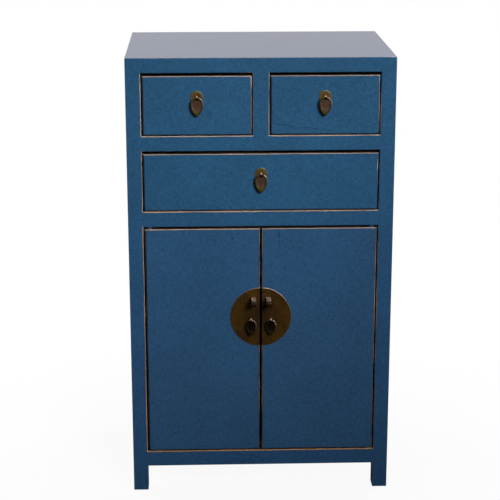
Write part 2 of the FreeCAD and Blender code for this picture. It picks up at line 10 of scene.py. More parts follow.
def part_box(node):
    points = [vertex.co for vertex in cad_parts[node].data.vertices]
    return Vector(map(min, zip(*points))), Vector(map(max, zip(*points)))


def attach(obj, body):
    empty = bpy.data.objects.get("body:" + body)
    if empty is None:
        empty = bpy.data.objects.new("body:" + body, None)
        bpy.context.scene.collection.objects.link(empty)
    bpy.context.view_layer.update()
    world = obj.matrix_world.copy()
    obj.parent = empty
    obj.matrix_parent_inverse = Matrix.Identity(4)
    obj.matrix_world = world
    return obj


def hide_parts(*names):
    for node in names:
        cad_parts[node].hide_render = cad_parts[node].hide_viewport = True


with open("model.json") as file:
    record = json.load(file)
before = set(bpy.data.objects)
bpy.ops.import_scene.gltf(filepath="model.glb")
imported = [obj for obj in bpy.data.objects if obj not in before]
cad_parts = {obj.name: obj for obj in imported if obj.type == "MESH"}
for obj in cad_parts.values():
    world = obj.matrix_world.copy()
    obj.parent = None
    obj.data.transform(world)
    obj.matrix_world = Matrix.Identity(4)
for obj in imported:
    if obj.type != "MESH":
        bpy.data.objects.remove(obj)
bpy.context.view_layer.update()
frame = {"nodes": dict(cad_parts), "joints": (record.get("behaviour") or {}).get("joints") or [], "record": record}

bl_info = {
    "name": "Painted Cabinet",
    "version": (1, 0, 0),
    "blender": (4, 5, 0),
    "location": "View3D > Sidebar > Cabinet",
    "description": "Dresses the boards and brass fittings of a painted cabinet and sets up its studio",
    "category": "Object",
}

MM = 0.001

# Lines of the front that several finishes follow, read from the frame
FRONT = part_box("rail_upper")[0].y
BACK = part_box("top_frame_back")[1].y
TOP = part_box("top_panel")[1].z
HALF_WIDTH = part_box("top_frame_front")[1].x
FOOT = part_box("rail_bottom")[0].z
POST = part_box("post_front_right")[0].x
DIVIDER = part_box("drawer_divider")[1].x
LEVELS = [
    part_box("rail_bottom")[1].z,
    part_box("rail_middle")[0].z,
    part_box("rail_middle")[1].z,
    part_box("rail_upper")[0].z,
    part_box("rail_upper")[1].z,
    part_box("top_frame_front")[0].z,
]
# Outlines on the front, as low x, high x, low z, high z
OPENINGS = [
    (-POST, POST, LEVELS[0], LEVELS[1]),
    (-POST, POST, LEVELS[2], LEVELS[3]),
    (-POST, -DIVIDER, LEVELS[4], LEVELS[5]),
    (DIVIDER, POST, LEVELS[4], LEVELS[5]),
]


def outline_of(*nodes):
    """Low x, high x, low z and high z round some nodes."""
    boxes = [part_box(node) for node in nodes]
    low = [min(b[0][axis] for b in boxes) for axis in range(3)]
    high = [max(b[1][axis] for b in boxes) for axis in range(3)]
    return low[0], high[0], low[2], high[2]


def door_outline(door):
    """A door's outline: its height comes from the meeting stile, because the hinge stile carries pintles."""
    low_x, high_x = outline_of(door + "_meeting_stile", door + "_hinge_stile")[:2]
    return low_x, high_x, *outline_of(door + "_meeting_stile")[2:]


LEAVES = [outline_of(f"drawer_{name}_front") for name in ("left", "right", "long")]
LEAVES += [door_outline("door_left"), door_outline("door_right")]
# How much of the paint is rubbed off at the left, right, low and high sides of each outline, more on the sides
# that face the light from the upper right, partly a painted highlight; on the leaves, the sides with less get
# painted shade with grime
OPENING_WEAR_AND_LIGHT = [(0.9, 0.55, 1.35, 0.3)] + [(0.9, 0.55, 1.1, 0.3)] * 3
LEAF_WEAR_AND_LIGHT = [(0.2, 0.6, 0.3, 1.0)] * 3 + [(0.2, 0.55, 0.5, 1.0), (0.6, 0.6, 0.5, 1.0)]


def ink(red, green, blue):
    """A colour seen on a screen, 0 to 255, as linear light."""

    def linear(value):
        value /= 255
        return value / 12.92 if value <= 0.04045 else ((value + 0.055) / 1.055) ** 2.4

    return linear(red), linear(green), linear(blue)


def scaled(colour, *factors):
    """A colour made darker or lighter, by one factor or by one for each channel."""
    factors = factors * 3 if len(factors) == 1 else factors
    return tuple(min(1, value * factor) for value, factor in zip(colour, factors))


# Sizes and colours that a user would change


def colour_setting(name, description, *screen):
    """A colour, with its default as seen on a screen."""
    return FloatVectorProperty(
        name=name, description=description, subtype="COLOR", default=ink(*screen), min=0, max=1
    )


def length_setting(name, description, default, least=0):
    """A length in metres."""
    return FloatProperty(name=name, description=description, subtype="DISTANCE", default=default, min=least)


def angle_setting(name, description, degrees):
    """An angle, with its default in degrees."""
    return FloatProperty(name=name, description=description, subtype="ANGLE", default=math.radians(degrees))


class CABINET_PG_finish(bpy.types.PropertyGroup):
    """Paint, wood and brass."""

    paint: colour_setting("Paint", "Blue paint", 36, 82, 117)
    bare: colour_setting("Bare wood", "Wood inside", 168, 124, 84)
    rubbed_and_highlight: colour_setting("Rubbed wood", "Wood at worn arrises", 182, 138, 92)
    faded: colour_setting("Faded wood", "Wood at worn arrises high up", 184, 162, 144)
    brass: colour_setting("Brass", "Aged brass", 100, 74, 32)
    # Strap colour: the painted highlights on the loops, pins and leaf edges, and the door plate's rim
    strap: colour_setting("Strap", "Rubbed brass", 172, 150, 134)
    plate: colour_setting("Plate", "Darkened brass of the door plate", 85, 60, 20)
    rub_width: length_setting("Rubbed width", "Worn band beside an arris", 0.0016)
    arris: length_setting("Arris", "Rounding of an opening's arris", 0.0014)
    corner: length_setting("Corner", "Rounding of an outer corner", 0.0009)
    thread: length_setting("Thread", "Pitch of the woven ground", 0.0012, 0.0001)


class CABINET_PG_leaf(bpy.types.PropertyGroup):
    """Leaf drops."""

    head: length_setting("Head", "Top of a leaf above its bar", 0.0016)
    border: length_setting("Border", "Width of the raised border", 0.0024)
    hollow: length_setting("Hollow", "Depth of the dished face", 0.0011)
    blunt: FloatProperty(name="Blunt", description="Fullness of the point", default=0.4, min=0, max=1)
    around: IntProperty(name="Around", description="Points round a leaf", default=112, min=16, max=256)
    along: IntProperty(name="Along", description="Points down a leaf", default=80, min=16, max=256)


class CABINET_PG_stage(bpy.types.PropertyGroup):
    """Camera and light."""

    eye: FloatVectorProperty(
        name="Camera",
        description="Place of the camera",
        subtype="XYZ",
        unit="LENGTH",
        default=(-0.1261, FRONT - 3.0297, 1.4008),
    )
    pitch: angle_setting("Pitch", "Tilt down", 15.773)
    yaw: angle_setting("Yaw", "Turn to the left", -1.95)
    roll: angle_setting("Roll", "Roll of the camera", -0.037)
    lens: FloatProperty(name="Lens", description="Focal length in millimetres", default=107.896, min=1)
    key: FloatProperty(name="Key", description="Power of the main lamp in watts", default=6.85, min=0)
    fill: FloatProperty(name="Fill", description="Light from all round", default=0.105, min=0)
    rear: FloatProperty(name="Rear", description="Power of each lamp behind in watts", default=30, min=0)


# Shader and geometry maths


class Wire:
    """A socket of a node tree that Python's operators turn into Math nodes."""

    def __init__(self, tree, socket):
        self.tree = tree
        self.socket = socket

    @staticmethod
    def node(tree, kind, settings=None, sockets=None, out=0):
        """A node of a kind, with its settings and then the values or wires of its sockets."""
        made = tree.nodes.new(kind)
        for name, value in (settings or {}).items():
            if name == "curve":
                points = made.mapping.curves[0].points
                while len(points) < len(value):
                    points.new(0.5, 0.5)
                for point, place in zip(points, value):
                    point.location = place
                    point.handle_type = "VECTOR"
                made.mapping.update()
            else:
                setattr(made, name, value)
        for key, value in (sockets or {}).items():
            socket = made.inputs[key]
            if isinstance(value, Wire):
                tree.links.new(value.socket, socket)
            elif socket.type == "RGBA" and len(value) == 3:
                socket.default_value = (*value, 1)
            else:
                socket.default_value = value
        return Wire(tree, made.outputs[out])

    def maths(self, operation, *others):
        """A Math node on this wire and others."""
        sockets = dict(enumerate((self, *others)))
        return self.node(self.tree, "ShaderNodeMath", {"operation": operation}, sockets)

    def __add__(self, other):
        return self.maths("ADD", other)

    __radd__ = __add__

    def __sub__(self, other):
        return self.maths("SUBTRACT", other)

    def __rsub__(self, other):
        return self.node(self.tree, "ShaderNodeMath", {"operation": "SUBTRACT"}, {0: other, 1: self})

    def __mul__(self, other):
        return self.maths("MULTIPLY", other)

    __rmul__ = __mul__

    def __truediv__(self, other):
        return self.maths("DIVIDE", other)

    def __abs__(self):
        return self.maths("ABSOLUTE")

    def power(self, other):
        return self.maths("POWER", other)

    def over(self, other):
        """1 where this is larger than another, else 0."""
        return self.maths("GREATER_THAN", other)

    def under(self, other):
        """1 where this is smaller than another, else 0."""
        return self.maths("LESS_THAN", other)

    def least(self, other):
        return self.maths("MINIMUM", other)

    def most(self, other):
        return self.maths("MAXIMUM", other)

    def root(self):
        return self.maths("SQRT")

    def ramp(self, low, high, start=0.0, end=1.0):
        """Goes smoothly from start at low to end at high."""
        sockets = {"Value": self, "From Min": low, "From Max": high, "To Min": start, "To Max": end}
        return self.node(self.tree, "ShaderNodeMapRange", {"interpolation_type": "SMOOTHSTEP"}, sockets)

    def mix(self, first, second):
        """A colour between two, by this factor."""
        return self.node(
            self.tree, "ShaderNodeMix", {"data_type": "RGBA"}, {"Factor": self, 6: first, 7: second}, out=2
        )


def hypot(first, second):
    """Length of the long side of a right angle."""
    return (first * first + second * second).root()


def apart(vector):
    """The three number wires of a vector wire."""
    split = vector.tree.nodes.new("ShaderNodeSeparateXYZ")
    vector.tree.links.new(vector.socket, split.inputs[0])
    return [Wire(vector.tree, split.outputs[axis]) for axis in range(3)]


def places(tree):
    """Object coordinates as one vector wire and three number wires."""
    spot = Wire.node(tree, "ShaderNodeTexCoord", out=3)
    return (spot, *apart(spot))


def facing(tree):
    """The way that a face looks in its piece's own frame, as three number wires."""
    return apart(Wire.node(tree, "ShaderNodeTexCoord", out=1))


def speckle(tree, spot, scale, stretch=(1, 1, 1), detail=3.0, rough=0.55):
    """Noise from 0 to 1 over Object coordinates, stretched along the axes."""
    spread = Wire.node(tree, "ShaderNodeMapping", None, {"Vector": spot, "Scale": stretch})
    return Wire.node(
        tree,
        "ShaderNodeTexNoise",
        None,
        {"Vector": spread, "Scale": scale, "Detail": detail, "Roughness": rough},
    )


def grain(tree, spot, along, colour):
    """Colour, roughness and height of planed wood whose grain runs along an axis."""
    fine = tuple(3.0 if axis == along else 60.0 for axis in "xyz")
    wide = tuple(0.8 if axis == along else 9.0 for axis in "xyz")
    streaks = speckle(tree, spot, 6, fine, detail=4)
    rings = speckle(tree, spot, 5, wide, detail=2, rough=0.6)
    tone = (streaks * 0.55 + rings * 0.6).ramp(0.36, 0.78)
    return tone.mix(scaled(colour, 0.52), scaled(colour, 1.18)), streaks.ramp(0.2, 0.8, 0.62, 0.48), streaks


def new_material(name):
    """An empty material and its tree."""
    made = bpy.data.materials.new(name)
    made.use_nodes = True
    made.node_tree.nodes.clear()
    return made, made.node_tree


def principled(tree, varying, constants):
    """The surface shader: what varies is linked, what is the same all over is set on its socket."""
    shader = tree.nodes.new("ShaderNodeBsdfPrincipled")
    for name, value in constants.items():
        shader.inputs[name].default_value = value
    for name, wire in varying.items():
        tree.links.new(wire.socket, shader.inputs[name])
    end = tree.nodes.new("ShaderNodeOutputMaterial")
    tree.links.new(shader.outputs[0], end.inputs["Surface"])


def bump(tree, height, strength, distance):
    """A Bump node's normal."""
    sockets = {"Strength": strength, "Distance": distance, "Height": height}
    return Wire.node(tree, "ShaderNodeBump", None, sockets)


def arris_distance(x, y, z, rows, wear_and_light, spread):
    """Three distances from some outlines on the front.

    Two are from the front arrises: one is made longer by a spread on the sides that wear less, the other on
    the sides that wear more, so that it lays painted shade with grime on the sides that wear less, which face
    away from the light. The third is from the faces that run back from the outlines.
    """
    behind = y - FRONT
    worn = grime_and_shade_distance = reveal = None
    for (low_x, high_x, low_z, high_z), (left, right, low, high) in zip(rows, wear_and_light):
        middle_x, middle_z = (low_x + high_x) / 2, (low_z + high_z) / 2
        across = abs(x - middle_x) - (high_x - low_x) / 2
        up = abs(z - middle_z) - (high_z - low_z) / 2
        outside = hypot(across.most(0), up.most(0))
        inside = across.most(up).least(0)
        side = x.under(middle_x) * (left - right) + right
        end = z.under(middle_z) * (low - high) + high
        upright = across.over(up)
        amount = upright * side + (1 - upright) * end
        flat = outside + inside
        near = hypot(flat, behind)
        far_worn, far_grime_and_shade = near + (1 - amount) * spread, near + amount * (spread * 2)
        worn = far_worn if worn is None else worn.least(far_worn)
        grime_and_shade_distance = far_grime_and_shade if grime_and_shade_distance is None else grime_and_shade_distance.least(far_grime_and_shade)
        reveal = abs(flat) if reveal is None else reveal.least(abs(flat))
    return worn, grime_and_shade_distance, reveal


# Paint, in metres: where it ends under the outer skin, and how ragged that end is
PAINT_END = (0.0085, 0.0092)
PAINT_RAGGED = 0.004
# How far fine noise and long stretches move the rubbed edges, the grime with its painted shade and the worn outer
# corners
EDGE_DRIFT = (0.0014, 0.0026)
GRIME_AND_SHADE_DRIFT = (0.0012, 0.0012)
CORNER_DRIFT = (0.003, 0.004)
CORNER_WEAR = 0.22
# Stain with painted shade on the faces that run back from the front into the gaps: its thickness, and where it
# begins and ends
STAIN_AND_SHADE_THICK = (0.0004, 0.0010)
STAIN_AND_SHADE_BEGIN = (0.0016, 0.0030)
STAIN_AND_SHADE_END = (0.019, 0.021)
# Colours of the stain with painted shade in the gaps, and of the grime with painted shade on the arrises that face
# away from the light
STAIN_AND_SHADE_INK, GRIME_AND_SHADE_INK = ink(58, 40, 30), ink(24, 17, 15)
# Darkest and lightest threads, as parts of the paint, and the paint's tint low down
DEEP, LIGHT = 0.62, 1.38
LOW_LEAF, LOW_CARCASS = (1.2, 0.94, 0.97), (1.06, 0.89, 1.0)
# Heights between which the wood and the carcass change from their low to their high tint
TINT_LEVELS = (0.2, 0.85)
# A face looks along an axis if that part of its normal is larger
SIDEWAYS = 0.7


def drifted(distance, ragged, stretches, amounts):
    """A distance that fine noise and long stretches make uneven."""
    return distance + (ragged - 0.5) * amounts[0] + (stretches - 0.5) * amounts[1]


def woven_ground(tree, spot, x, y, z, thread):
    """Two sets of threads that cross, and their thick places, laid on each face."""
    face = facing(tree)
    across = x + abs(face[0]).over(SIDEWAYS) * (y - x)
    up = z + abs(face[2]).over(SIDEWAYS) * (y - z)
    cloth = Wire.node(tree, "ShaderNodeCombineXYZ", None, {0: across, 1: 0.0, 2: up})
    pitch = math.tau / thread
    wander = (speckle(tree, spot, 34, detail=2) - 0.5) * 5
    threads = (across * pitch + wander).maths("SINE") * 0.5 + (up * pitch - wander).maths("SINE") * 0.5
    slubs = [speckle(tree, cloth, 70, stretch, detail=3) * 0.5 for stretch in ((1, 1, 9), (9, 1, 1))]
    return threads, slubs[0] + slubs[1]


def corner_distance(x, y, z):
    """Distance from the nearest outer corner of the whole cabinet."""
    near_x, near_y, near_z = HALF_WIDTH - abs(x), (y - FRONT).least(BACK - y), TOP - z
    return hypot(near_x, near_y).least(hypot(near_x, near_z)).least(hypot(near_y, near_z))


def painted_wood(name, rows, wear_and_light, along, marks):
    """Blue paint over a woven ground, rubbed through to the wood along the arrises of some outlines, more where
    they face the light, partly a painted highlight; painted shade goes in as grime on the leaves' arrises that
    face away from the light and as stain in the gaps.
    """
    finish = bpy.context.scene.cabinet_finish
    made, tree = new_material(name)
    spot, x, y, z = places(tree)
    patch = speckle(tree, spot, 7, detail=4)
    grit = speckle(tree, spot, 260, detail=2)
    ragged = speckle(tree, spot, 90, detail=3)
    stretches = speckle(tree, spot, 11, detail=2)
    threads, slubs = woven_ground(tree, spot, x, y, z, finish.thread)

    # Where the paint lies: the outer skin and the feet
    wood_colour, wood_rough, wood_height = grain(tree, spot, along, finish.bare)
    skin = (HALF_WIDTH - abs(x)).least(y - FRONT).least(BACK - y).least(TOP - z)
    skin = skin + (ragged - 0.5) * PAINT_RAGGED
    coated = skin.ramp(*PAINT_END, 1, 0).most(z.ramp(FOOT + 0.001, FOOT + 0.002, 1, 0))

    # Rubbed arrises of the openings or of the leaves, more on the sides that face the light, partly a painted
    # highlight, and a little wear on the outer corners
    band = finish.rub_width
    edge, grime_and_shade_distance, reveal = arris_distance(x, y, z, rows, wear_and_light, band)
    edge = drifted(edge, ragged, stretches, EDGE_DRIFT)
    rubbed_and_highlight = edge.ramp(band * 0.75, band * 1.1, 1, 0)
    halo = edge.ramp(band, band * 2.4, 1, 0)
    # Painted shade with grime on the leaves' arrises that face away from the light
    grime_and_shade_distance = drifted(grime_and_shade_distance, ragged, stretches, GRIME_AND_SHADE_DRIFT)
    grime_and_shade = grime_and_shade_distance.ramp(band * 1.3, band * 2.9, 1, 0) * (0.9 if marks else 0.0)
    corner = drifted(corner_distance(x, y, z), ragged, stretches, CORNER_DRIFT)
    rubbed_and_highlight = rubbed_and_highlight.most(corner.ramp(0.0001, 0.0012, CORNER_WEAR, 0))
    # Stain with painted shade on the faces that run back into the gaps
    behind = y - FRONT + (ragged - 0.5) * 0.001
    stain_and_shade = reveal.ramp(*STAIN_AND_SHADE_THICK, 1, 0) * behind.ramp(*STAIN_AND_SHADE_BEGIN) * behind.ramp(*STAIN_AND_SHADE_END, 1, 0)

    # Colour of the threads, which changes with the height
    paint = tuple(finish.paint)
    height_tint = z.ramp(*TINT_LEVELS)
    paint_tint = z.ramp(LEVELS[1], LEVELS[2]) if marks else height_tint
    below = scaled(paint, *(LOW_LEAF if marks else LOW_CARCASS))
    deep = paint_tint.mix(scaled(below, DEEP), scaled(paint, DEEP))
    light = paint_tint.mix(scaled(below, LIGHT), scaled(paint, LIGHT))
    tone = patch * 0.16 + slubs * 0.62 + threads * 0.06 + grit * 0.26
    colour = tone.ramp(0.32, 0.72).mix(deep, light)
    colour = (halo * 0.35).mix(colour, scaled(paint, 0.5))
    rough = tone.ramp(0.3, 0.75, 0.54, 0.44)
    height = threads * 0.22 + slubs * 0.5

    # Marks of age on the drawer fronts and doors
    if marks:
        flaw = old_marks(tree, x, z)
        colour = (flaw * 0.7).mix(colour, scaled(paint, 0.16))
        height = height - flaw * 1.2

    # Grime with painted shade, then bare wood, then stain with painted shade in the gaps, over the paint
    worn = height_tint.mix(tuple(finish.rubbed_and_highlight), tuple(finish.faded))
    worn_dark = height_tint.mix(scaled(finish.rubbed_and_highlight, 0.5), scaled(finish.faded, 0.5))
    colour = grime_and_shade.mix(colour, GRIME_AND_SHADE_INK)
    colour = rubbed_and_highlight.mix(colour, (ragged * 0.6 + grit * 0.4).ramp(0.3, 0.6).mix(worn_dark, worn))
    rough = rough + rubbed_and_highlight * 0.16
    height = height - rubbed_and_highlight * 0.6
    colour = (stain_and_shade * 0.9).mix(coated.mix(wood_colour, colour), STAIN_AND_SHADE_INK)
    coated = coated * (1 - stain_and_shade)
    rough = coated * rough + (1 - coated) * wood_rough
    height = coated * height + (1 - coated) * wood_height * 0.5
    principled(
        tree,
        {
            "Base Color": colour,
            "Roughness": rough,
            "Normal": bump(tree, height, 0.35, 0.0004),
            "Coat Weight": coated * (1 - rubbed_and_highlight.most(grime_and_shade)) * 0.95,
        },
        {"Coat Roughness": 0.2, "Coat IOR": 1.65, "IOR": 1.5, "Specular IOR Level": 0.12},
    )
    return made


# Marks of age: corners of a hairline crack in millimetres, and the box in metres that its curve is drawn in
CRACK = [(25, 813.5), (59, 809), (68, 804), (95, 805), (126, 801), (144, 798), (176, 794)]
CRACK_X, CRACK_Z = (0.020, 0.180), (0.790, 0.816)
# Heights of the open seam on the right door, middle of the chip on the left door, place of a small tick
SEAM_LOW, SEAM_HIGH = (0.545, 0.549), (0.586, 0.588)
CHIP_X, CHIP_Z = -0.0602, 0.5707
TICK_X, TICK_LOW, TICK_HIGH = 0.2035, (0.9035, 0.905), (0.909, 0.910)
# How wide the marks fade out beside their middles
LINE_FADE, SEAM_FADE, CHIP_FADE = (0.0003, 0.0010), (0.0002, 0.0008), (0.0014, 0.0024)
# Where along x the crack begins, and where it fades away
CRACK_BEGIN, CRACK_FADE = (0.021, 0.024), (0.12, 0.176)


def old_marks(tree, x, z):
    """A crack and a tick on the right small drawer, a short open seam and a chip on the doors."""
    (start, end), (low, high) = CRACK_X, CRACK_Z
    points = [((px * MM - start) / (end - start), (pz * MM - low) / (high - low)) for px, pz in CRACK]
    run = (x - start) / (end - start)
    path = Wire.node(tree, "ShaderNodeFloatCurve", {"curve": points}, {"Factor": 1.0, "Value": run})
    drift = abs(z - (path * (high - low) + low))
    crack = drift.ramp(*LINE_FADE, 1, 0) * x.ramp(*CRACK_BEGIN) * x.ramp(*CRACK_FADE, 1, 0)
    seam = abs(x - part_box("door_right_meeting_stile")[1].x).ramp(*SEAM_FADE, 1, 0)
    seam = seam * z.ramp(*SEAM_LOW) * z.ramp(*SEAM_HIGH, 1, 0)
    chip_x, chip_z = x - CHIP_X, z - CHIP_Z
    along, aside = (chip_x * 0.8 - chip_z * 0.6) / 1.6, chip_x * 0.6 + chip_z * 0.8
    chip = hypot(along, aside).ramp(*CHIP_FADE, 1, 0)
    tick = abs(x - TICK_X).ramp(*LINE_FADE, 1, 0) * z.ramp(*TICK_LOW) * z.ramp(*TICK_HIGH, 1, 0)
    return crack.most(seam).most(chip).most(tick)


def planed_wood(name, along):
    """Plain wood inside the cabinet, with its grain along an axis."""
    made, tree = new_material(name)
    spot = places(tree)[0]
    colour, rough, height = grain(tree, spot, along, bpy.context.scene.cabinet_finish.bare)
    varying = {"Base Color": colour, "Roughness": rough, "Normal": bump(tree, height, 0.3, 0.0004)}
    principled(tree, varying, {"IOR": 1.45})
    return made


# Painted highlights on the brass face the light from the upper right: parts of x and z in that direction, on a
# leaf and on a plate
LEAF_LIGHT, PLATE_LIGHT = (0.6, 0.8), (0.5, 0.87)


def leaf_shade(tree, shade, tone, rubbed_and_highlight, dish, pale):
    """Gives a leaf a dish of a colour and a painted highlight on the edge that faces the light, by its border
    attribute.
    """
    border = Wire.node(tree, "ShaderNodeAttribute", {"attribute_name": "border"}, out=2)
    shade = border.ramp(0.1, 0.95, 1, 0).mix(shade, tone.mix(scaled(dish, 0.7), dish))
    face = facing(tree)
    # Painted highlight on the border that faces the light
    lit = (face[0] * LEAF_LIGHT[0] + face[2] * LEAF_LIGHT[1]).ramp(0.12, 0.55)
    return (border.ramp(0.95, 1.3) * lit).mix(shade, scaled(rubbed_and_highlight, pale))


def aged_brass(name, colour, metal, kind, detail):
    """Brass that has gone brown and dull in patches.

    A leaf's detail is the colour of its dish and the paleness of the painted highlight on its edge. A strap is
    painted bright where it faces up, a painted highlight, and its detail is the two limits of that, its gloss and
    its paleness. A plate is rubbed along its rim, with a painted highlight most at the upper right, and its detail
    is its middle's x and z, its radius, the rubbed band's width, how bright its middle stays under dirt and
    painted shade and the band's colour.
    """
    made, tree = new_material(name)
    spot, x, _, z = places(tree)
    patina = speckle(tree, spot, 62, detail=4, rough=0.6) * 0.6
    patina = patina + speckle(tree, spot, 21, detail=3, rough=0.6) * 0.4
    fine = speckle(tree, spot, 420, detail=3)
    uneven = patina * 0.8 + fine * 0.3
    brown, bright = scaled(colour, 0.36, 0.30, 0.28), scaled(colour, 1.5)
    # Colour of the painted highlights on the loops, pins and leaf edges
    rubbed_and_highlight = tuple(bpy.context.scene.cabinet_finish.strap)
    tone = uneven.ramp(0.45, 0.62)
    gloss = 0.5
    if kind == "leaf":
        shade = leaf_shade(tree, tone.mix(brown, bright), tone, rubbed_and_highlight, *detail)
    elif kind == "strap":
        low, high, gloss, pale = detail
        # Painted highlight on the faces that look up, painted shade in dark brown on the rest
        shade = facing(tree)[2].ramp(low, high).mix(scaled(brown, 0.4), scaled(rubbed_and_highlight, pale))
    else:
        middle_x, middle_z, radius, band, middle_dirt_and_shade, rim = detail
        right, up = x - middle_x, z - middle_z
        out = hypot(right, up)
        # The middle is darker round the pulls: dirt and painted shade
        tone = tone.ramp(0, 1, 0.2, 1.0) * (out / radius).ramp(0.2, 0.85, middle_dirt_and_shade, 1.0)
        # Painted highlight: the rubbed rim is brightest at the upper right, toward the light
        lit = ((right * PLATE_LIGHT[0] + up * PLATE_LIGHT[1]) / radius).ramp(0.1, 0.9, 0.25, 1.0)
        worn = (out + (patina - 0.5) * 0.0008).ramp(radius - band, radius - band * 0.3)
        shade = (worn * lit * 0.8).mix(tone.mix(brown, bright), rim)
    principled(
        tree,
        {
            "Base Color": shade,
            "Roughness": tone.ramp(0, 1, 0.56, 0.38),
            "Normal": bump(tree, uneven, 0.22, 0.0005),
        },
        {"Metallic": metal, "Specular IOR Level": gloss},
    )
    return made


# Mesh tools

# How close a point has to be to lie on a face of the cabinet, and on an outline, in metres
ON_FACE, ON_LINE = 2e-5, 3e-5
# Edges that bend less stay as they are; smooth faces meet in a crease if they bend more
SHARP_EDGE, BOARD_CREASE, LEAF_CREASE = math.radians(30), math.radians(36), math.radians(40)


def merged_copy(node):
    """A clean copy of a node's mesh: doubles merged, flat triangles joined into whole faces."""
    work = bmesh.new()
    work.from_mesh(frame["nodes"][node].data)
    bmesh.ops.remove_doubles(work, verts=work.verts, dist=2e-6)
    bmesh.ops.dissolve_limit(work, angle_limit=math.radians(0.6), verts=work.verts, edges=work.edges)
    return work


def split_at(work, axis, levels):
    """Cuts a mesh through at some places on an axis, without filling."""
    normal = Vector((0, 0, 0))
    normal[axis] = 1
    for level in levels:
        geometry = [*work.verts, *work.edges, *work.faces]
        bmesh.ops.bisect_plane(work, geom=geometry, dist=1e-7, plane_co=normal * level, plane_no=normal)


def on_outline(middle, rows):
    """True if a point on the front lies on one of some outlines."""
    if abs(middle.y - FRONT) > ON_FACE:
        return False
    for low_x, high_x, low_z, high_z in rows:
        across = abs(middle.x - (low_x + high_x) / 2) - (high_x - low_x) / 2
        up = abs(middle.z - (low_z + high_z) / 2) - (high_z - low_z) / 2
        if abs(max(across, up)) < ON_LINE:
            return True
    return False


def on_corner(middle):
    """True if a point lies on an outer corner of the whole cabinet."""
    near = [
        HALF_WIDTH - abs(middle.x) < ON_FACE,
        min(middle.y - FRONT, BACK - middle.y) < ON_FACE,
        min(TOP - middle.z, middle.z) < ON_FACE,
    ]
    return sum(near) >= 2


def finished(name, work, material, body, nodes, slot_name, width):
    """Rounds the weighted edges of a mesh and hands it over as a piece that stands for some nodes."""
    mesh = bpy.data.meshes.new(name)
    work.to_mesh(mesh)
    work.free()
    mesh.materials.clear()
    mesh.materials.append(material)
    piece = bpy.data.objects.new(name, mesh)
    bpy.context.scene.collection.objects.link(piece)
    rounding = piece.modifiers.new("rounding", "BEVEL")
    rounding.limit_method = "WEIGHT"
    rounding.width = width
    rounding.segments = 3
    rounding.use_clamp_overlap = True
    settled(piece, body, nodes, slot_name)
    piece.data.set_sharp_from_angle(angle=BOARD_CREASE)
    for face in piece.data.polygons:
        face.use_smooth = max(abs(value) for value in face.normal) < 0.9999


def settled(piece, body, nodes, slot_name):
    """Turns a piece's modifiers into a plain mesh, then lets it ride on its body."""
    graph = bpy.context.evaluated_depsgraph_get()
    plain = bpy.data.meshes.new_from_object(piece.evaluated_get(graph), depsgraph=graph)
    piece.modifiers.clear()
    old = piece.data
    piece.data = plain
    bpy.data.meshes.remove(old)
    plain.name = piece.name
    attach(piece, body)
    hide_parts(*nodes)


def weigh_edges(work, choose):
    """Gives each sharp, outward edge the weight that a rule gives its middle."""
    layers = work.edges.layers.float
    layer = layers.get("bevel_weight_edge") or layers.new("bevel_weight_edge")
    for edge in work.edges:
        if len(edge.link_faces) == 2 and edge.is_convex and edge.calc_face_angle(0) > SHARP_EDGE:
            edge[layer] = choose((edge.verts[0].co + edge.verts[1].co) / 2)


BODY_OF = {node: body for body, nodes in frame["record"]["behaviour"]["bodies"].items() for node in nodes}
SLOT_OF = {entry["node"]: entry["material_slot"] for entry in frame["record"]["subparts"]}


def long_axis(node):
    """The axis along which a board is longest."""
    low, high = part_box(node)
    sizes = high - low
    return "xyz"[max(range(3), key=lambda axis: sizes[axis])]


def board(node, material, choose, width, splits=()):
    """A board from its node's mesh, with some of its edges rounded."""
    work = merged_copy(node)
    for axis, levels in splits:
        split_at(work, axis, levels)
    weigh_edges(work, choose)
    finished(node + "_dressed", work, material, BODY_OF[node], [node], SLOT_OF[node], width)


def everywhere(middle):
    """Full weight for every edge."""
    return 1.0


# Operators

# Where the boards of the front frame are cut, so that their arrises can change at the openings' corners
FRAME_SPLITS = ((0, (-POST, -DIVIDER, DIVIDER, POST)), (2, LEVELS))
# Roundings of the edges of plain boards and of the brass, in metres
BOARD_ROUND, SMALL_ROUND, LARGE_ROUND, PIN_ROUND, LOOP_ROUND = 0.0005, 0.0007, 0.0006, 0.0003, 0.0006
UPRIGHTS = ["post_front_left", "post_front_right", "post_back_left", "post_back_right", "drawer_divider"]
CROSS_RAILS = ["rail_upper", "rail_middle", "rail_bottom", "top_frame_front", "top_frame_back"]
SKINS = ["top_frame_ends", "top_panel", "side_rails", "side_panels", "back_panel", "back_rails"]
DRAWERS = ["drawer_left", "drawer_right", "drawer_long"]
DOORS = ["door_left", "door_right"]


class CABINET_OT_carcass(bpy.types.Operator):
    """Posts, rails, top, sides and back, painted, with the arrises of the openings rubbed"""

    bl_idname = "cabinet.carcass"
    bl_label = "Painted Carcass"

    def execute(self, context):
        finish = context.scene.cabinet_finish
        upright = painted_wood("paint_upright", OPENINGS, OPENING_WEAR_AND_LIGHT, "z", False)
        level = painted_wood("paint_level", OPENINGS, OPENING_WEAR_AND_LIGHT, "x", False)
        small = finish.corner / finish.arris

        def choose(middle):
            if on_outline(middle, OPENINGS):
                return 1.0
            return small if on_corner(middle) or middle.z < ON_FACE else 0.0

        for node in UPRIGHTS + CROSS_RAILS:
            board(node, upright if node in UPRIGHTS else level, choose, finish.arris, FRAME_SPLITS)
        for node in SKINS:
            board(node, level if node in ("top_panel", "back_rails") else upright, choose, finish.arris)
        return {"FINISHED"}


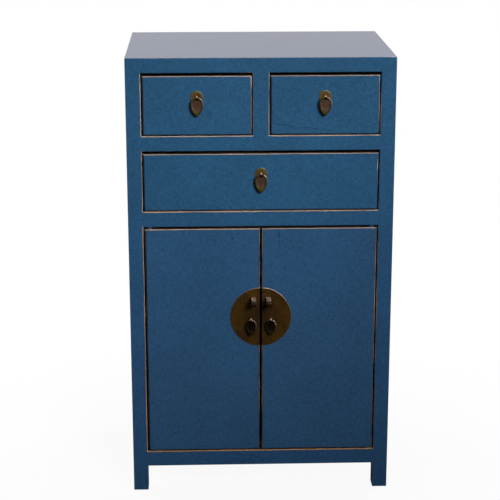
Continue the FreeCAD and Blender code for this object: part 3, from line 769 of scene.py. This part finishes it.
class CABINET_OT_fronts(bpy.types.Operator):
    """Drawer fronts and framed doors, painted, with rubbed arrises and old marks"""

    bl_idname = "cabinet.fronts"
    bl_label = "Drawer Fronts and Doors"

    def execute(self, context):
        finish = context.scene.cabinet_finish
        paint = {axis: painted_wood(f"paint_leaf_{axis}", LEAVES, LEAF_WEAR_AND_LIGHT, axis, True) for axis in "xz"}

        def choose(middle):
            return 1.0 if on_outline(middle, LEAVES) else 0.0

        for drawer in DRAWERS:
            board(drawer + "_front", paint["x"], choose, finish.arris)
        for door in DOORS:
            for part in ("hinge_stile", "meeting_stile", "panel"):
                board(f"{door}_{part}", paint["z"], choose, finish.arris)
            board(f"{door}_rails", paint["x"], choose, finish.arris)
        return {"FINISHED"}


class CABINET_OT_inside(bpy.types.Operator):
    """Drawer boxes, runners, shelf, floor and the other plain boards inside"""

    bl_idname = "cabinet.inside"
    bl_label = "Plain Boards Inside"

    def execute(self, context):
        wood = {axis: planed_wood(f"wood_along_{axis}", axis) for axis in "xyz"}
        along_y = ("_sides", "_runners", "_bearers")
        for node, slot_name in SLOT_OF.items():
            if slot_name == "bare_wood" and node not in SKINS:
                axis = "y" if node.endswith(along_y) else "x" if node == "door_stops" else long_axis(node)
                board(node, wood[axis], everywhere, BOARD_ROUND)
        return {"FINISHED"}


def round_of(*nodes):
    """Middle and radius of a round plate, from the box round its nodes."""
    low_x, high_x, low_z, high_z = outline_of(*nodes)
    return (low_x + high_x) / 2, (low_z + high_z) / 2, (high_z - low_z) / 2


# Rubbed band of a plate's rim, in metres, and how bright the plate's middle stays, darkened by dirt and painted
# shade round the pulls
SMALL_RIM, LARGE_RIM = (0.0052, 0.5), (0.0016, 0.1)
SMALL_RIM_INK = ink(112, 116, 84)
# Limits of the painted highlight on the parts that face up, with painted shade on the rest, gloss and paleness of
# the loops and pins
LOOP_HIGHLIGHT, PIN_HIGHLIGHT = (0.75, 1.0, 0.1, 0.62), (-0.2, 0.6, 0.5, 0.72)


class CABINET_OT_plates(bpy.types.Operator):
    """Round plates behind the drawer pulls and the split round plate of the doors"""

    bl_idname = "cabinet.plates"
    bl_label = "Brass Plates"

    def execute(self, context):
        finish = context.scene.cabinet_finish
        for drawer in DRAWERS:
            node = drawer + "_backplate"
            detail = (*round_of(node), *SMALL_RIM, SMALL_RIM_INK)
            small = aged_brass("brass_" + node, finish.brass, 0.7, "plate", detail)
            board(node, small, everywhere, SMALL_ROUND)
        whole = round_of("door_left_plate", "door_right_plate")
        detail = (*whole, *LARGE_RIM, tuple(finish.strap))
        large = aged_brass("brass_door_plate", finish.plate, 0.8, "plate", detail)
        for door in DOORS:
            board(door + "_plate", large, everywhere, LARGE_ROUND)
        return {"FINISHED"}


class CABINET_OT_straps(bpy.types.Operator):
    """Split pins that carry the drops, and the loops for a padlock"""

    bl_idname = "cabinet.straps"
    bl_label = "Pins and Lock Loops"

    def execute(self, context):
        brass = context.scene.cabinet_finish.brass
        loop = aged_brass("brass_loop", brass, 0.25, "strap", LOOP_HIGHLIGHT)
        pin = aged_brass("brass_pin", brass, 0.5, "strap", PIN_HIGHLIGHT)
        for owner in DRAWERS + DOORS:
            board(owner + "_pull_pin", pin, everywhere, PIN_ROUND)
        for door in DOORS:
            board(door + "_lock_loop", loop, everywhere, LOOP_ROUND)
        return {"FINISHED"}


def leaf_tree():
    """Geometry nodes of a leaf drop, a shell with a round head and two arcs to a point."""
    tree = bpy.data.node_groups.new("leaf_drop", "GeometryNodeTree")
    face = tree.interface
    for name, kind in (("Around", "NodeSocketInt"), ("Along", "NodeSocketInt")):
        face.new_socket(name, in_out="INPUT", socket_type=kind)
    sizes = ("Width", "Length", "Head", "Thickness", "Back", "Border", "Hollow", "Blunt")
    sizes += ("Slot Width", "Slot Depth", "Bar Radius")
    for name in sizes:
        face.new_socket(name, in_out="INPUT", socket_type="NodeSocketFloat")
    face.new_socket("Place", in_out="INPUT", socket_type="NodeSocketVector")
    face.new_socket("Material", in_out="INPUT", socket_type="NodeSocketMaterial")
    face.new_socket("Geometry", in_out="OUTPUT", socket_type="NodeSocketGeometry")
    start = tree.nodes.new("NodeGroupInput")
    given = {socket.name: Wire(tree, socket) for socket in start.outputs if socket.name}

    def make(kind, settings=None, sockets=None, out=0):
        return Wire.node(tree, kind, settings, sockets, out)

    # A unit sheet, rolled into a closed shell
    sheet = make(
        "GeometryNodeMeshGrid",
        None,
        {"Size X": 1.0, "Size Y": 1.0, "Vertices X": given["Around"], "Vertices Y": given["Along"]},
    )
    sheet_x, sheet_y, _ = apart(make("GeometryNodeInputPosition"))
    turn = (sheet_x + 0.5) * math.tau
    run = (1 - ((sheet_y + 0.5) * math.pi).maths("COSINE")) / 2
    fall = run * given["Length"]

    # Half width of the leaf at each height: a circle above, arcs to a point below, a little like an oval
    half = given["Width"] / 2
    tip = given["Length"] - half
    arc = (half * half + tip * tip) / given["Width"]
    below = fall - half
    head = (half * half - below * below).most(0).root()
    point = ((arc * arc - below * below).most(0).root() - (arc - half)).most(0)
    oval = half * (1 - (below / tip) * (below / tip)).most(0).root()
    lower = below.over(0)
    reach = lower * (point + (oval - point) * given["Blunt"]) + (1 - lower) * head

    # Section: a soft rim, a raised border round a dished face and a flat back
    sway, lift = turn.maths("COSINE"), turn.maths("SINE")
    side = sway.maths("SIGN") * (sway * sway).power(0.30) * reach
    to_side = (reach - abs(side)) * 0.9
    to_rim = lower * to_side.least((given["Length"] - fall) * 0.5) + (1 - lower) * (half - hypot(side, below))
    dished = to_rim.ramp(given["Border"] * 0.5, given["Border"] * 2.1)
    dished = dished * (given["Length"] - fall).ramp(given["Length"] * 0.08, given["Length"] * 0.5)
    front = lift.under(0)
    edge = (reach / half).ramp(0.0, 0.2)
    thick = lift.maths("SIGN") * (lift * lift).power(0.20) * edge * given["Thickness"] / 2
    depth = thick + front * dished * given["Hollow"] + given["Back"] - given["Thickness"] / 2
    position = make("ShaderNodeCombineXYZ", None, {0: side, 1: depth, 2: given["Head"] - fall})
    border = 1 - dished * front + abs(lift).ramp(0.25, 0.7, 1, 0)
    shell = make(
        "GeometryNodeStoreNamedAttribute",
        {"data_type": "FLOAT", "domain": "POINT"},
        {"Geometry": sheet, "Name": "border", "Value": border},
    )
    shell = make("GeometryNodeSetPosition", None, {"Geometry": shell, "Position": position})
    shell = make("GeometryNodeMergeByDistance", None, {"Geometry": shell, "Distance": 0.00002})

    # Slot for the pin's eye, with the round bar across its top
    slot_top, slot_through = given["Head"] + 0.001, 0.03
    tall, middle = given["Slot Depth"] + slot_top, (slot_top - given["Slot Depth"]) / 2
    slot_size = make("ShaderNodeCombineXYZ", None, {0: given["Slot Width"], 1: slot_through, 2: tall})
    slot_place = make("ShaderNodeCombineXYZ", None, {0: 0.0, 1: 0.0, 2: middle})
    slot = make("GeometryNodeMeshCube", None, {"Size": slot_size})
    slot = make("GeometryNodeSetPosition", None, {"Geometry": slot, "Offset": slot_place})
    cut = tree.nodes.new("GeometryNodeMeshBoolean")
    cut.operation = "DIFFERENCE"
    tree.links.new(shell.socket, cut.inputs["Mesh 1"])
    tree.links.new(slot.socket, cut.inputs["Mesh 2"])
    bar_length = given["Slot Width"] + given["Bar Radius"] * 2
    bar_size = {"Vertices": 24, "Radius": given["Bar Radius"], "Depth": bar_length}
    bar = make("GeometryNodeMeshCylinder", None, bar_size)
    bar = make("GeometryNodeTransform", None, {"Geometry": bar, "Rotation": (0, math.pi / 2, 0)})
    join = tree.nodes.new("GeometryNodeJoinGeometry")
    for part in (cut.outputs["Mesh"], bar.socket):
        tree.links.new(part, join.inputs[0])
    whole = Wire(tree, join.outputs[0])
    whole = make("GeometryNodeSetPosition", None, {"Geometry": whole, "Offset": given["Place"]})
    whole = make("GeometryNodeSetShadeSmooth", None, {"Geometry": whole})
    whole = make("GeometryNodeRealizeInstances", None, {"Geometry": whole})
    whole = make("GeometryNodeSetMaterial", None, {"Geometry": whole, "Material": given["Material"]})
    end = tree.nodes.new("NodeGroupOutput")
    tree.links.new(whole.socket, end.inputs[0])
    return tree


# Slot in a leaf for the pin's eye, its width and depth, and the radius of the bar across it, as in the solids
EYE_SLOT, EYE_BAR = (0.006, 0.0055), 0.0011
# Colour of a leaf, colour of its dish and paleness of the painted highlight on its edge
DRAWER_LEAF = (ink(66, 60, 16), (ink(86, 60, 46), 1.25))
DOOR_LEAF = (ink(48, 34, 17), (ink(21, 14, 11), 2.2))


class CABINET_OT_drops(bpy.types.Operator):
    """Leaf drops that hang in the eyes of the split pins"""

    bl_idname = "cabinet.drops"
    bl_label = "Leaf Drops"

    def execute(self, context):
        leaf = context.scene.cabinet_leaf
        drawer_metal = aged_brass("brass_drawer_drop", DRAWER_LEAF[0], 0.6, "leaf", DRAWER_LEAF[1])
        door_metal = aged_brass("brass_door_drop", DOOR_LEAF[0], 0.85, "leaf", DOOR_LEAF[1])
        tree = leaf_tree()
        names = {item.name: item.identifier for item in tree.interface.items_tree if item.in_out == "INPUT"}
        pivots = {joint["child"]: Vector(joint["pos_m"]) for joint in frame["joints"] if "pos_m" in joint}
        for owner in DRAWERS + DOORS:
            node, body = owner + "_pull_drop", owner + "_pull"
            low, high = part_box(node)
            place = pivots[body]
            sizes = {
                "Around": leaf.around + 1,
                "Along": leaf.along + 1,
                "Width": high.x - low.x,
                "Length": place.z + leaf.head - low.z,
                "Head": leaf.head,
                "Thickness": high.y - low.y,
                "Back": high.y - place.y,
                "Border": leaf.border,
                "Hollow": leaf.hollow,
                "Blunt": leaf.blunt,
                "Slot Width": EYE_SLOT[0],
                "Slot Depth": EYE_SLOT[1],
                "Bar Radius": EYE_BAR,
                "Place": place,
                "Material": drawer_metal if owner in DRAWERS else door_metal,
            }
            piece = bpy.data.objects.new(node + "_dressed", bpy.data.meshes.new(node + "_start"))
            context.scene.collection.objects.link(piece)
            step = piece.modifiers.new("leaf", "NODES")
            step.node_group = tree
            for name, value in sizes.items():
                step[names[name]] = value
            settled(piece, body, [node], "aged_brass")
            piece.data.set_sharp_from_angle(angle=LEAF_CREASE)
        return {"FINISHED"}


# Studio: half side of the floor, its share of plain white near and far from the cabinet, and its own grey in
# the light that it throws back and in the camera's eye
FLOOR_HALF = 20
FLOOR_WHITE = (0.3, 0.9, 0.93, 1.0)
FLOOR_THROWN, FLOOR_SEEN = (0.09, 0.09, 0.09), (0.8, 0.8, 0.8)
# Brightness of the world in reflections, by the direction's y and, in two ranges, its z; and its tint there
WORLD_BEHIND = (0.1, 0.8, 0.024, 0.74)
WORLD_ABOVE = ((0.4, 0.9, 0, 0.64), (0.0, 0.5, 0, 0.3))
WHITE, WORLD_TINT = (1.0, 1.0, 1.0), (1.0, 0.945, 0.97)


def studio_floor(scene):
    """Floor that is white to the camera but for a soft shadow near the cabinet."""
    far = FLOOR_HALF
    mesh = bpy.data.meshes.new("studio_floor")
    mesh.from_pydata([(-far, -far, 0), (far, -far, 0), (far, far, 0), (-far, far, 0)], [], [(0, 1, 2, 3)])
    floor = bpy.data.objects.new("studio_floor", mesh)
    scene.collection.objects.link(floor)
    made, tree = new_material("floor_white")
    _, x, y, _ = places(tree)
    ray = tree.nodes.new("ShaderNodeLightPath")
    camera_ray = Wire(tree, ray.outputs["Is Camera Ray"])
    away = hypot(x, y).ramp(*FLOOR_WHITE)
    matt = tree.nodes.new("ShaderNodeBsdfDiffuse")
    tree.links.new(camera_ray.mix(FLOOR_THROWN, FLOOR_SEEN).socket, matt.inputs["Color"])
    white = tree.nodes.new("ShaderNodeEmission")
    white.inputs["Color"].default_value = (*WHITE, 1)
    blend = tree.nodes.new("ShaderNodeMixShader")
    tree.links.new((camera_ray * away).socket, blend.inputs[0])
    tree.links.new(matt.outputs[0], blend.inputs[1])
    tree.links.new(white.outputs[0], blend.inputs[2])
    end = tree.nodes.new("ShaderNodeOutputMaterial")
    tree.links.new(blend.outputs[0], end.inputs["Surface"])
    mesh.materials.append(made)


def studio_world(scene, fill):
    """World that is white to the camera, an even fill for the rest, and brighter behind in reflections."""
    world = bpy.data.worlds.new("studio")
    scene.world = world
    world.use_nodes = True
    tree = world.node_tree
    tree.nodes.clear()
    ray = tree.nodes.new("ShaderNodeLightPath")
    camera_ray = Wire(tree, ray.outputs["Is Camera Ray"])
    glossy_ray = Wire(tree, ray.outputs["Is Glossy Ray"])
    way = apart(Wire.node(tree, "ShaderNodeTexCoord", out=0))
    mirrored = way[1].ramp(*WORLD_BEHIND)
    for limits in WORLD_ABOVE:
        mirrored = mirrored.most(way[2].ramp(*limits))
    level = camera_ray + (1 - camera_ray) * (glossy_ray * mirrored + (1 - glossy_ray) * fill)
    tint = (glossy_ray * (1 - camera_ray)).mix(WHITE, WORLD_TINT)
    sky = tree.nodes.new("ShaderNodeBackground")
    tree.links.new(tint.socket, sky.inputs["Color"])
    tree.links.new(level.socket, sky.inputs["Strength"])
    end = tree.nodes.new("ShaderNodeOutputWorld")
    tree.links.new(sky.outputs[0], end.inputs["Surface"])


def studio_lamps(scene, stage):
    """Main lamp from the upper right, and two behind for the sides and back that no surface mirrors."""
    rear_size, rear_aim = (2.2, 1.1), (0, 0, 0.4)
    lamps = [
        ("key", stage.key, (1.5, 1.2), 30, (1.15, FRONT - 2.6, 2.3), (-0.06, FRONT, 0.8)),
        ("rear_left", stage.rear, rear_size, 120, (-2.5, BACK + 1.6, 1.75), rear_aim),
        ("rear_right", stage.rear, rear_size, 120, (2.5, BACK + 1.6, 1.75), rear_aim),
    ]
    for name, power, size, spread, place, aim in lamps:
        light = bpy.data.lights.new(name, "AREA")
        light.energy = power
        light.shape = "RECTANGLE"
        light.size, light.size_y = size
        light.spread = math.radians(spread)
        lamp = bpy.data.objects.new(name, light)
        lamp.location = place
        lamp.rotation_euler = (Vector(aim) - Vector(place)).to_track_quat("-Z", "Y").to_euler()
        lamp.visible_camera = False
        lamp.visible_glossy = name == "key"
        scene.collection.objects.link(lamp)


def studio_camera(scene, stage):
    """Camera at the photo's angle."""
    lens = bpy.data.cameras.new("camera")
    lens.lens = stage.lens
    lens.sensor_width = 36
    lens.clip_end = 100
    camera = bpy.data.objects.new("camera", lens)
    pitch, yaw, roll = stage.pitch, stage.yaw, stage.roll
    level = math.cos(pitch)
    ahead = Vector((-math.sin(yaw) * level, math.cos(yaw) * level, -math.sin(pitch)))
    right = Vector((math.cos(yaw), math.sin(yaw), 0))
    up = right.cross(ahead)
    across = math.cos(roll) * right + math.sin(roll) * up
    upward = math.cos(roll) * up - math.sin(roll) * right
    turn = Matrix((across, upward, -ahead)).transposed()
    camera.matrix_world = Matrix.Translation(Vector(stage.eye)) @ turn.to_4x4()
    scene.collection.objects.link(camera)
    scene.camera = camera


class CABINET_OT_stage(bpy.types.Operator):
    """Pale floor, soft studio light and a camera at the photo's angle"""

    bl_idname = "cabinet.stage"
    bl_label = "Studio"

    def execute(self, context):
        scene, stage = context.scene, context.scene.cabinet_stage
        scene.view_settings.view_transform = "Standard"
        studio_floor(scene)
        studio_world(scene, stage.fill)
        studio_lamps(scene, stage)
        studio_camera(scene, stage)
        return {"FINISHED"}


OPERATORS = (
    CABINET_OT_carcass,
    CABINET_OT_fronts,
    CABINET_OT_inside,
    CABINET_OT_plates,
    CABINET_OT_straps,
    CABINET_OT_drops,
    CABINET_OT_stage,
)


class CABINET_PT_sidebar(bpy.types.Panel):
    """Lists the steps that dress the cabinet"""

    bl_idname = "CABINET_PT_sidebar"
    bl_label = "Painted Cabinet"
    bl_space_type = "VIEW_3D"
    bl_region_type = "UI"
    bl_category = "Cabinet"

    def draw(self, context):
        column = self.layout.column()
        for operator in OPERATORS:
            column.operator(operator.bl_idname)
        for name in ("cabinet_finish", "cabinet_leaf", "cabinet_stage"):
            group = getattr(context.scene, name)
            for key in group.__annotations__:
                column.prop(group, key)


GROUPS = (CABINET_PG_finish, CABINET_PG_leaf, CABINET_PG_stage)
CLASSES = (*GROUPS, *OPERATORS, CABINET_PT_sidebar)


def register():
    """Registers the classes and their settings."""
    for item in CLASSES:
        bpy.utils.register_class(item)
    bpy.types.Scene.cabinet_finish = PointerProperty(type=CABINET_PG_finish)
    bpy.types.Scene.cabinet_leaf = PointerProperty(type=CABINET_PG_leaf)
    bpy.types.Scene.cabinet_stage = PointerProperty(type=CABINET_PG_stage)


def unregister():
    """Removes the settings and the classes."""
    del bpy.types.Scene.cabinet_finish
    del bpy.types.Scene.cabinet_leaf
    del bpy.types.Scene.cabinet_stage
    for item in reversed(CLASSES):
        bpy.utils.unregister_class(item)


def main():
    """Dresses the whole cabinet."""
    register()
    bpy.ops.cabinet.carcass()
    bpy.ops.cabinet.fronts()
    bpy.ops.cabinet.inside()
    bpy.ops.cabinet.plates()
    bpy.ops.cabinet.straps()
    bpy.ops.cabinet.drops()
    bpy.ops.cabinet.stage()
    bpy.context.view_layer.update()


if __name__ == "__main__":
    main()
